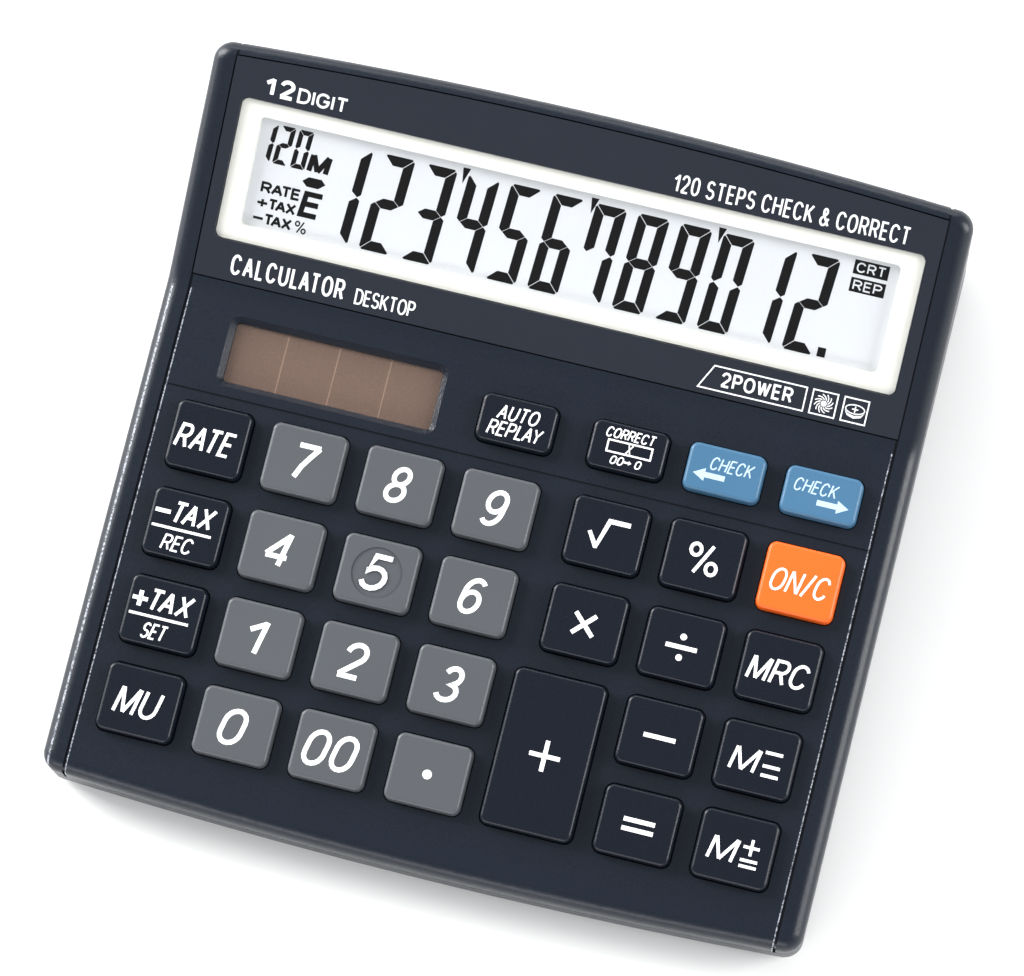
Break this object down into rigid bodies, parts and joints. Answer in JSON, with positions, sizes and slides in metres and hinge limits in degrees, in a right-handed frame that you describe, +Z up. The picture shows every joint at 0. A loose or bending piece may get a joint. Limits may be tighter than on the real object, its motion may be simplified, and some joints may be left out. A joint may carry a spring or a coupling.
{
  "type": "desk calculator",
  "caption": "Desk calculator with a tilted liquid-crystal display, solar cell, sprung keys and a sliding battery door underneath.",
  "frame": {"origin": "centre of the box on the desk, under the rubber feet", "axes": "+X to the user's right, +Y to the back edge behind the display, +Z up; the rubber feet stand on Z = 0"},
  "size_m": [0.13, 0.1274, 0.0337],
  "materials": {
    "casing": "moulded ABS, fine satin grain",
    "panel": "smooth printed panel",
    "key_dark": "satin moulded keys with printed legends",
    "key_grey": "satin moulded keys with printed legends",
    "key_blue": "satin moulded keys with printed legends",
    "key_orange": "satin moulded key with printed legend",
    "white_frame": "fine speckled white",
    "clear_window": "clear acrylic",
    "lcd": "liquid-crystal glass",
    "reflector": "silvered film",
    "ribbon": "polyimide film",
    "board": "phenolic board",
    "silicone": "moulded silicone",
    "carbon": "carbon-loaded rubber",
    "epoxy": "cured epoxy",
    "can": "drawn can",
    "screw_steel": "zinc plated",
    "solar": "amorphous silicon on glass",
    "wire": "insulated wire",
    "cell_steel": "nickel plated",
    "contact_metal": "spring strip",
    "foot_rubber": "moulded rubber"
  },
  "bodies": {
    "casing": {"top_cover": "casing", "bottom_cover": "casing", "display_panel": "panel", "display_window": "clear_window", "display_frame": "white_frame", "lcd_glass": "lcd", "reflector": "reflector", "lcd_ribbon": "ribbon", "circuit_board": "board", "key_mat": "silicone", "contact_pills": "carbon", "chip_cover": "epoxy", "capacitor": "can", "board_screws": "screw_steel", "solar_window": "clear_window", "solar_cell": "solar", "solar_leads": "wire", "button_cell": "cell_steel", "contact_plus": "contact_metal", "contact_minus": "contact_metal", "battery_wires": "wire", "case_screws": "screw_steel", "rubber_feet": "foot_rubber"},
    "key_rate": {"key_rate": "key_dark"},
    "key_tax_minus": {"key_tax_minus": "key_dark"},
    "key_tax_plus": {"key_tax_plus": "key_dark"},
    "key_mark_up": {"key_mark_up": "key_dark"},
    "key_7": {"key_7": "key_grey"},
    "key_8": {"key_8": "key_grey"},
    "key_9": {"key_9": "key_grey"},
    "key_4": {"key_4": "key_grey"},
    "key_5": {"key_5": "key_grey"},
    "key_6": {"key_6": "key_grey"},
    "key_1": {"key_1": "key_grey"},
    "key_2": {"key_2": "key_grey"},
    "key_3": {"key_3": "key_grey"},
    "key_0": {"key_0": "key_grey"},
    "key_00": {"key_00": "key_grey"},
    "key_point": {"key_point": "key_grey"},
    "key_root": {"key_root": "key_dark"},
    "key_multiply": {"key_multiply": "key_dark"},
    "key_plus": {"key_plus": "key_dark"},
    "key_percent": {"key_percent": "key_dark"},
    "key_divide": {"key_divide": "key_dark"},
    "key_minus": {"key_minus": "key_dark"},
    "key_equals": {"key_equals": "key_dark"},
    "key_on_clear": {"key_on_clear": "key_orange"},
    "key_memory_recall": {"key_memory_recall": "key_dark"},
    "key_memory_minus": {"key_memory_minus": "key_dark"},
    "key_memory_plus": {"key_memory_plus": "key_dark"},
    "key_replay": {"key_replay": "key_dark"},
    "key_correct": {"key_correct": "key_dark"},
    "key_check_back": {"key_check_back": "key_blue"},
    "key_check_forward": {"key_check_forward": "key_blue"},
    "battery_door": {"battery_door": "casing"}
  },
  "joints": [
    {"name": "press_rate", "type": "slide", "parent": "casing", "child": "key_rate", "axis": [0, 0.0713, -0.9975], "range_m": [0, 0.0015], "stiffness_N_per_m": 400, "springref_m": -0.0008},
    {"name": "press_tax_minus", "type": "slide", "parent": "casing", "child": "key_tax_minus", "axis": [0, 0.0713, -0.9975], "range_m": [0, 0.0015], "stiffness_N_per_m": 400, "springref_m": -0.0008},
    {"name": "press_tax_plus", "type": "slide", "parent": "casing", "child": "key_tax_plus", "axis": [0, 0.0713, -0.9975], "range_m": [0, 0.0015], "stiffness_N_per_m": 400, "springref_m": -0.0008},
    {"name": "press_mark_up", "type": "slide", "parent": "casing", "child": "key_mark_up", "axis": [0, 0.0713, -0.9975], "range_m": [0, 0.0015], "stiffness_N_per_m": 400, "springref_m": -0.0008},
    {"name": "press_7", "type": "slide", "parent": "casing", "child": "key_7", "axis": [0, 0.0713, -0.9975], "range_m": [0, 0.0015], "stiffness_N_per_m": 400, "springref_m": -0.0008},
    {"name": "press_8", "type": "slide", "parent": "casing", "child": "key_8", "axis": [0, 0.0713, -0.9975], "range_m": [0, 0.0015], "stiffness_N_per_m": 400, "springref_m": -0.0008},
    {"name": "press_9", "type": "slide", "parent": "casing", "child": "key_9", "axis": [0, 0.0713, -0.9975], "range_m": [0, 0.0015], "stiffness_N_per_m": 400, "springref_m": -0.0008},
    {"name": "press_4", "type": "slide", "parent": "casing", "child": "key_4", "axis": [0, 0.0713, -0.9975], "range_m": [0, 0.0015], "stiffness_N_per_m": 400, "springref_m": -0.0008},
    {"name": "press_5", "type": "slide", "parent": "casing", "child": "key_5", "axis": [0, 0.0713, -0.9975], "range_m": [0, 0.0015], "stiffness_N_per_m": 400, "springref_m": -0.0008},
    {"name": "press_6", "type": "slide", "parent": "casing", "child": "key_6", "axis": [0, 0.0713, -0.9975], "range_m": [0, 0.0015], "stiffness_N_per_m": 400, "springref_m": -0.0008},
    {"name": "press_1", "type": "slide", "parent": "casing", "child": "key_1", "axis": [0, 0.0713, -0.9975], "range_m": [0, 0.0015], "stiffness_N_per_m": 400, "springref_m": -0.0008},
    {"name": "press_2", "type": "slide", "parent": "casing", "child": "key_2", "axis": [0, 0.0713, -0.9975], "range_m": [0, 0.0015], "stiffness_N_per_m": 400, "springref_m": -0.0008},
    {"name": "press_3", "type": "slide", "parent": "casing", "child": "key_3", "axis": [0, 0.0713, -0.9975], "range_m": [0, 0.0015], "stiffness_N_per_m": 400, "springref_m": -0.0008},
    {"name": "press_0", "type": "slide", "parent": "casing", "child": "key_0", "axis": [0, 0.0713, -0.9975], "range_m": [0, 0.0015], "stiffness_N_per_m": 400, "springref_m": -0.0008},
    {"name": "press_00", "type": "slide", "parent": "casing", "child": "key_00", "axis": [0, 0.0713, -0.9975], "range_m": [0, 0.0015], "stiffness_N_per_m": 400, "springref_m": -0.0008},
    {"name": "press_point", "type": "slide", "parent": "casing", "child": "key_point", "axis": [0, 0.0713, -0.9975], "range_m": [0, 0.0015], "stiffness_N_per_m": 400, "springref_m": -0.0008},
    {"name": "press_root", "type": "slide", "parent": "casing", "child": "key_root", "axis": [0, 0.0713, -0.9975], "range_m": [0, 0.0015], "stiffness_N_per_m": 400, "springref_m": -0.0008},
    {"name": "press_multiply", "type": "slide", "parent": "casing", "child": "key_multiply", "axis": [0, 0.0713, -0.9975], "range_m": [0, 0.0015], "stiffness_N_per_m": 400, "springref_m": -0.0008},
    {"name": "press_plus", "type": "slide", "parent": "casing", "child": "key_plus", "axis": [0, 0.0713, -0.9975], "range_m": [0, 0.0015], "stiffness_N_per_m": 400, "springref_m": -0.0008},
    {"name": "press_percent", "type": "slide", "parent": "casing", "child": "key_percent", "axis": [0, 0.0713, -0.9975], "range_m": [0, 0.0015], "stiffness_N_per_m": 400, "springref_m": -0.0008},
    {"name": "press_divide", "type": "slide", "parent": "casing", "child": "key_divide", "axis": [0, 0.0713, -0.9975], "range_m": [0, 0.0015], "stiffness_N_per_m": 400, "springref_m": -0.0008},
    {"name": "press_minus", "type": "slide", "parent": "casing", "child": "key_minus", "axis": [0, 0.0713, -0.9975], "range_m": [0, 0.0015], "stiffness_N_per_m": 400, "springref_m": -0.0008},
    {"name": "press_equals", "type": "slide", "parent": "casing", "child": "key_equals", "axis": [0, 0.0713, -0.9975], "range_m": [0, 0.0015], "stiffness_N_per_m": 400, "springref_m": -0.0008},
    {"name": "press_on_clear", "type": "slide", "parent": "casing", "child": "key_on_clear", "axis": [0, 0.0713, -0.9975], "range_m": [0, 0.0015], "stiffness_N_per_m": 400, "springref_m": -0.0008},
    {"name": "press_memory_recall", "type": "slide", "parent": "casing", "child": "key_memory_recall", "axis": [0, 0.0713, -0.9975], "range_m": [0, 0.0015], "stiffness_N_per_m": 400, "springref_m": -0.0008},
    {"name": "press_memory_minus", "type": "slide", "parent": "casing", "child": "key_memory_minus", "axis": [0, 0.0713, -0.9975], "range_m": [0, 0.0015], "stiffness_N_per_m": 400, "springref_m": -0.0008},
    {"name": "press_memory_plus", "type": "slide", "parent": "casing", "child": "key_memory_plus", "axis": [0, 0.0713, -0.9975], "range_m": [0, 0.0015], "stiffness_N_per_m": 400, "springref_m": -0.0008},
    {"name": "press_replay", "type": "slide", "parent": "casing", "child": "key_replay", "axis": [0, 0.0713, -0.9975], "range_m": [0, 0.0015], "stiffness_N_per_m": 400, "springref_m": -0.0008},
    {"name": "press_correct", "type": "slide", "parent": "casing", "child": "key_correct", "axis": [0, 0.0713, -0.9975], "range_m": [0, 0.0015], "stiffness_N_per_m": 400, "springref_m": -0.0008},
    {"name": "press_check_back", "type": "slide", "parent": "casing", "child": "key_check_back", "axis": [0, 0.0713, -0.9975], "range_m": [0, 0.0015], "stiffness_N_per_m": 400, "springref_m": -0.0008},
    {"name": "press_check_forward", "type": "slide", "parent": "casing", "child": "key_check_forward", "axis": [0, 0.0713, -0.9975], "range_m": [0, 0.0015], "stiffness_N_per_m": 400, "springref_m": -0.0008},
    {"name": "door_slide", "type": "slide", "parent": "casing", "child": "battery_door", "axis": [0, 1, 0], "range_m": [0, 0.031]}
  ]
}
